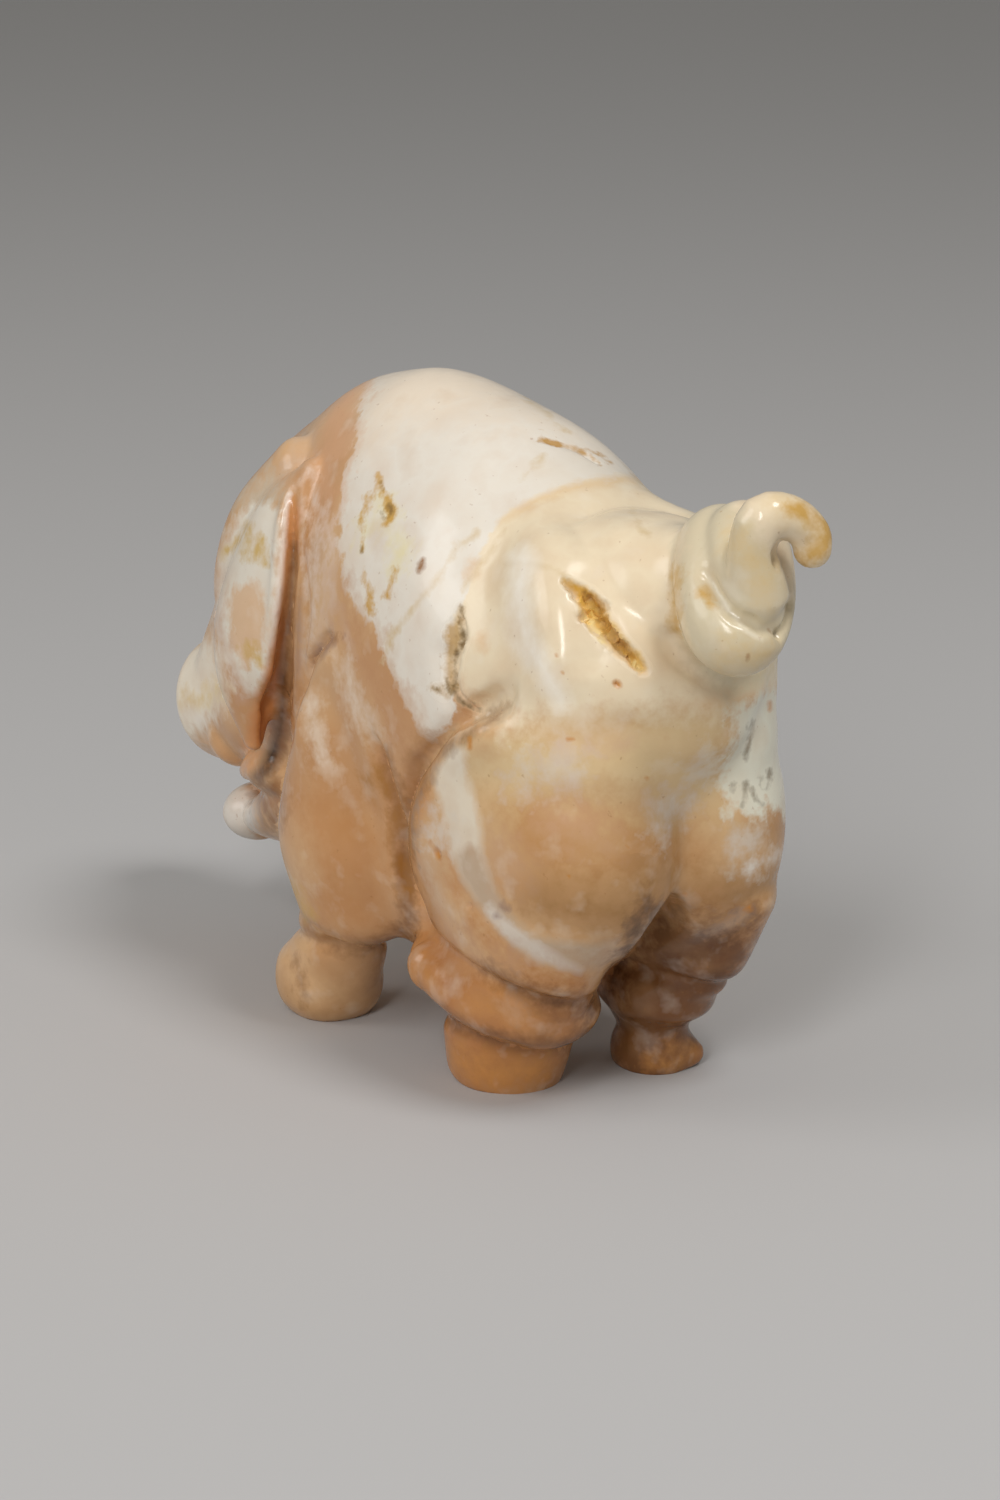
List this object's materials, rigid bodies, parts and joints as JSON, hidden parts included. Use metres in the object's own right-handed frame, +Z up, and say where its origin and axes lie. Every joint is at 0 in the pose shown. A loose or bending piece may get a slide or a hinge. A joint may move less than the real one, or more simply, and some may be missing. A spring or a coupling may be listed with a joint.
{
  "type": "pig figurine",
  "caption": "Small standing pig carved in the round from banded stone, with a low head, open mouth, lying ears, fat folded legs and a coiled tail.",
  "frame": {"origin": "middle of the footprint box, on the plane the four soles stand on", "axes": "-Y the way the pig faces, +X its left side, +Z up"},
  "size_m": [0.0276, 0.075, 0.0491],
  "materials": {
    "banded_marble": "polished"
  },
  "bodies": {
    "root": {"pig_carving": "banded_marble"}
  },
  "joints": []
}
